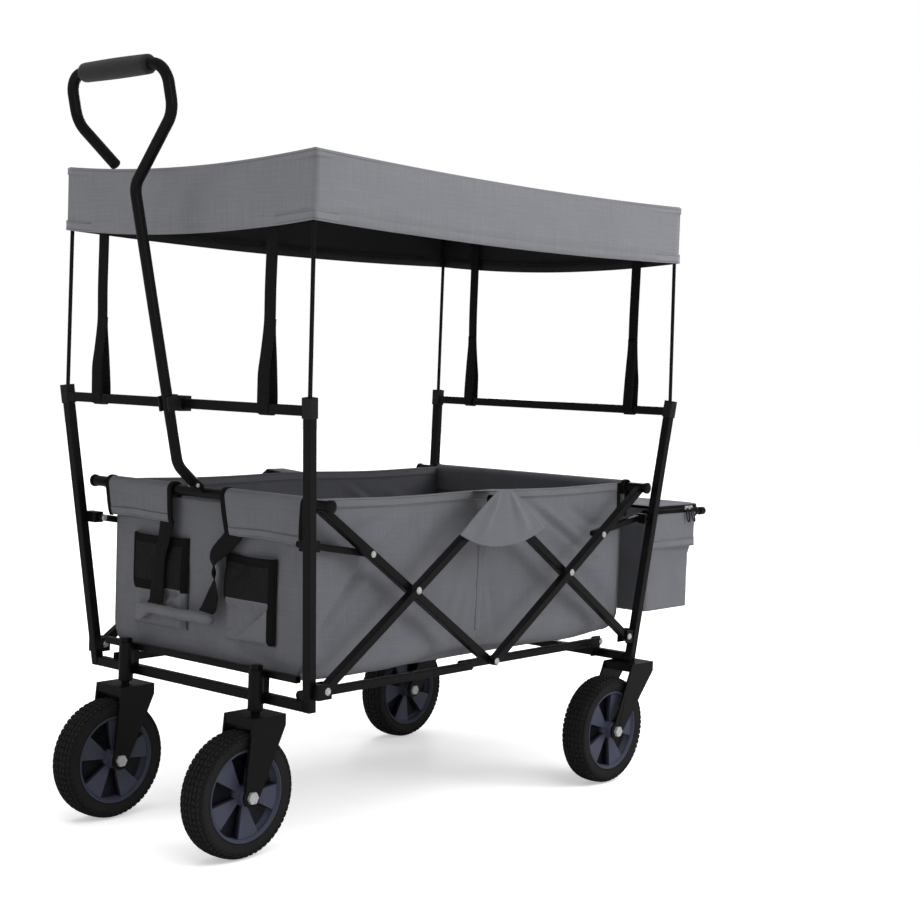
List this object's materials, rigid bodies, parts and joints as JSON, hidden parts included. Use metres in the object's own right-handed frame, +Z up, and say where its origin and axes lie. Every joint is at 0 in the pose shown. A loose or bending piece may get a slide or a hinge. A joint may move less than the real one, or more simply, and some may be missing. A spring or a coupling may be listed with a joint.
{
  "type": "folding pull wagon",
  "caption": "Folding four-wheeled pull wagon with a scissor frame, a hanging fabric tub, a sun canopy on rods, a looped pull handle and a tail bag.",
  "frame": {"origin": "on the ground under the middle of the whole wagon, handle and tail bag included", "axes": "+X towards the tail bag, -X towards the pull handle and the swivelling front wheels, +Y to the right-hand side when facing forwards, +Z up"},
  "size_m": [1.1894, 0.5504, 1.1],
  "materials": {
    "frame": "gloss black powder coat",
    "zinc": "bright zinc plate",
    "moulding": "fine matt moulding",
    "hub": "satin moulded nylon",
    "tread": "matt tread rubber",
    "foam": "soft foam",
    "tub_cloth": "coated plain-weave polyester",
    "canopy_cloth": "plain-weave polyester",
    "webbing": "woven polypropylene tape"
  },
  "bodies": {
    "rear_frame": {"rear_post_left": "frame", "rear_post_right": "frame", "rear_lower_crossbar": "frame", "rear_upper_crossbar": "frame", "rear_post_caps": "moulding", "rear_brackets": "frame", "rear_forks": "frame", "rear_axle_bolts": "zinc", "rear_rivets": "zinc", "rear_canopy_rods": "frame", "rear_canopy_straps": "webbing", "canopy": "canopy_cloth", "rear_bag": "tub_cloth", "bag_lid": "tub_cloth"},
    "bag_arms": {"bag_arms": "frame"},
    "rear_wheel_left": {"rear_hub_left": "hub", "rear_tyre_left": "tread"},
    "rear_wheel_right": {"rear_hub_right": "hub", "rear_tyre_right": "tread"},
    "front_frame": {"front_post_left": "frame", "front_post_right": "frame", "front_lower_crossbar": "frame", "front_slim_crossbar": "frame", "front_upper_crossbar": "frame", "front_post_caps": "moulding", "front_brackets": "frame", "caster_housings": "frame", "handle_clip": "moulding", "front_rivets": "zinc", "front_canopy_rods": "frame", "front_canopy_straps": "webbing"},
    "caster_left": {"front_fork_left": "frame", "front_axle_bolt_left": "zinc"},
    "caster_right": {"front_fork_right": "frame", "front_axle_bolt_right": "zinc"},
    "front_wheel_left": {"front_hub_left": "hub", "front_tyre_left": "tread"},
    "front_wheel_right": {"front_hub_right": "hub", "front_tyre_right": "tread"},
    "front_risers": {"front_risers": "frame", "front_riser_rivets": "zinc"},
    "rear_risers": {"rear_risers": "frame", "rear_riser_rivets": "zinc"},
    "front_braces": {"front_braces": "frame", "front_top_tube": "frame"},
    "rear_braces": {"rear_braces": "frame", "rear_top_tube": "frame", "rear_brace_rivets": "zinc"},
    "front_links": {"front_links": "frame"},
    "rear_links": {"rear_links": "frame"},
    "front_floor_rails": {"front_floor_rails": "frame"},
    "rear_floor_rails": {"rear_floor_rails": "frame"},
    "rear_basket": {"basket_cloth": "tub_cloth", "rear_panel": "tub_cloth"},
    "front_basket": {"front_panel": "tub_cloth", "front_pockets": "tub_cloth", "carry_bar": "webbing"},
    "handle": {"handle_tube": "frame", "handle_grip": "foam", "handle_yoke": "frame"}
  },
  "joints": [
    {"name": "fold", "type": "hinge", "parent": "rear_frame", "child": "rear_risers", "pos_m": [0.345, 0, 0.243], "axis": [0, 1, 0], "range_deg": [0, 49.5], "deforming": ["basket_cloth", "canopy", "carry_bar"]},
    {"name": "peak_pivot", "type": "hinge", "parent": "rear_risers", "child": "front_risers", "pos_m": [-0.025, 0, 0.493], "axis": [0, 1, 0], "range_deg": [-99, 0]},
    {"name": "front_frame_pivot", "type": "hinge", "parent": "front_risers", "child": "front_frame", "pos_m": [-0.395, 0, 0.243], "axis": [0, 1, 0], "range_deg": [0, 49.5]},
    {"name": "rear_brace_pivot", "type": "hinge", "parent": "rear_risers", "child": "rear_braces", "pos_m": [0.16, 0, 0.368], "axis": [0, 1, 0], "range_deg": [-99, 0]},
    {"name": "front_brace_pivot", "type": "hinge", "parent": "front_risers", "child": "front_braces", "pos_m": [-0.21, 0, 0.368], "axis": [0, 1, 0], "range_deg": [0, 99]},
    {"name": "rear_basket_hang", "type": "hinge", "parent": "rear_braces", "child": "rear_basket", "pos_m": [0.35389, 0, 0.49901], "axis": [0, 1, 0], "range_deg": [0, 49.5]},
    {"name": "front_basket_hang", "type": "hinge", "parent": "front_braces", "child": "front_basket", "pos_m": [-0.40389, 0, 0.49901], "axis": [0, 1, 0], "range_deg": [-49.5, 0]},
    {"name": "front_link_pivot", "type": "hinge", "parent": "front_frame", "child": "front_links", "pos_m": [-0.42, 0, 0.445], "axis": [0, 1, 0], "range_deg": [-81.33, 0]},
    {"name": "rear_link_pivot", "type": "hinge", "parent": "rear_frame", "child": "rear_links", "pos_m": [0.37, 0, 0.445], "axis": [0, 1, 0], "range_deg": [0, 81.33]},
    {"name": "front_rail_pivot", "type": "hinge", "parent": "front_frame", "child": "front_floor_rails", "pos_m": [-0.387, 0, 0.228], "axis": [0, 1, 0], "range_deg": [-82.03, 0]},
    {"name": "rear_rail_pivot", "type": "hinge", "parent": "rear_frame", "child": "rear_floor_rails", "pos_m": [0.337, 0, 0.228], "axis": [0, 1, 0], "range_deg": [0, 82.03]},
    {"name": "handle_pivot", "type": "hinge", "parent": "front_frame", "child": "handle", "pos_m": [-0.40389, 0, 0.49901], "axis": [0, 1, 0], "range_deg": [-120, 0]},
    {"name": "bag_arm_pivot", "type": "hinge", "parent": "rear_frame", "child": "bag_arms", "pos_m": [0.387, 0, 0.447], "axis": [0, 1, 0], "range_deg": [0, 80], "deforming": ["rear_bag", "bag_lid"]},
    {"name": "caster_swivel_left", "type": "hinge", "parent": "front_frame", "child": "caster_left", "pos_m": [-0.427, -0.145, 0.23], "axis": [0, 0, 1], "continuous": true},
    {"name": "caster_swivel_right", "type": "hinge", "parent": "front_frame", "child": "caster_right", "pos_m": [-0.427, 0.145, 0.23], "axis": [0, 0, 1], "continuous": true},
    {"name": "front_wheel_spin_left", "type": "hinge", "parent": "caster_left", "child": "front_wheel_left", "pos_m": [-0.457, -0.145, 0.09], "axis": [0, 1, 0], "continuous": true},
    {"name": "front_wheel_spin_right", "type": "hinge", "parent": "caster_right", "child": "front_wheel_right", "pos_m": [-0.457, 0.145, 0.09], "axis": [0, 1, 0], "continuous": true},
    {"name": "rear_wheel_spin_left", "type": "hinge", "parent": "rear_frame", "child": "rear_wheel_left", "pos_m": [0.29, -0.232, 0.09], "axis": [0, 1, 0], "continuous": true},
    {"name": "rear_wheel_spin_right", "type": "hinge", "parent": "rear_frame", "child": "rear_wheel_right", "pos_m": [0.29, 0.232, 0.09], "axis": [0, 1, 0], "continuous": true}
  ],
  "couplings": [
    {"joint": "peak_pivot", "follows": "fold", "ratio": -2},
    {"joint": "front_frame_pivot", "follows": "fold", "ratio": 1},
    {"joint": "rear_brace_pivot", "follows": "fold", "ratio": -2},
    {"joint": "front_brace_pivot", "follows": "fold", "ratio": 2},
    {"joint": "rear_basket_hang", "follows": "fold", "ratio": 1},
    {"joint": "front_basket_hang", "follows": "fold", "ratio": -1},
    {"joint": "front_link_pivot", "follows": "fold", "ratio": -1.6431},
    {"joint": "rear_link_pivot", "follows": "fold", "ratio": 1.6431},
    {"joint": "front_rail_pivot", "follows": "fold", "ratio": -1.6572},
    {"joint": "rear_rail_pivot", "follows": "fold", "ratio": 1.6572}
  ]
}
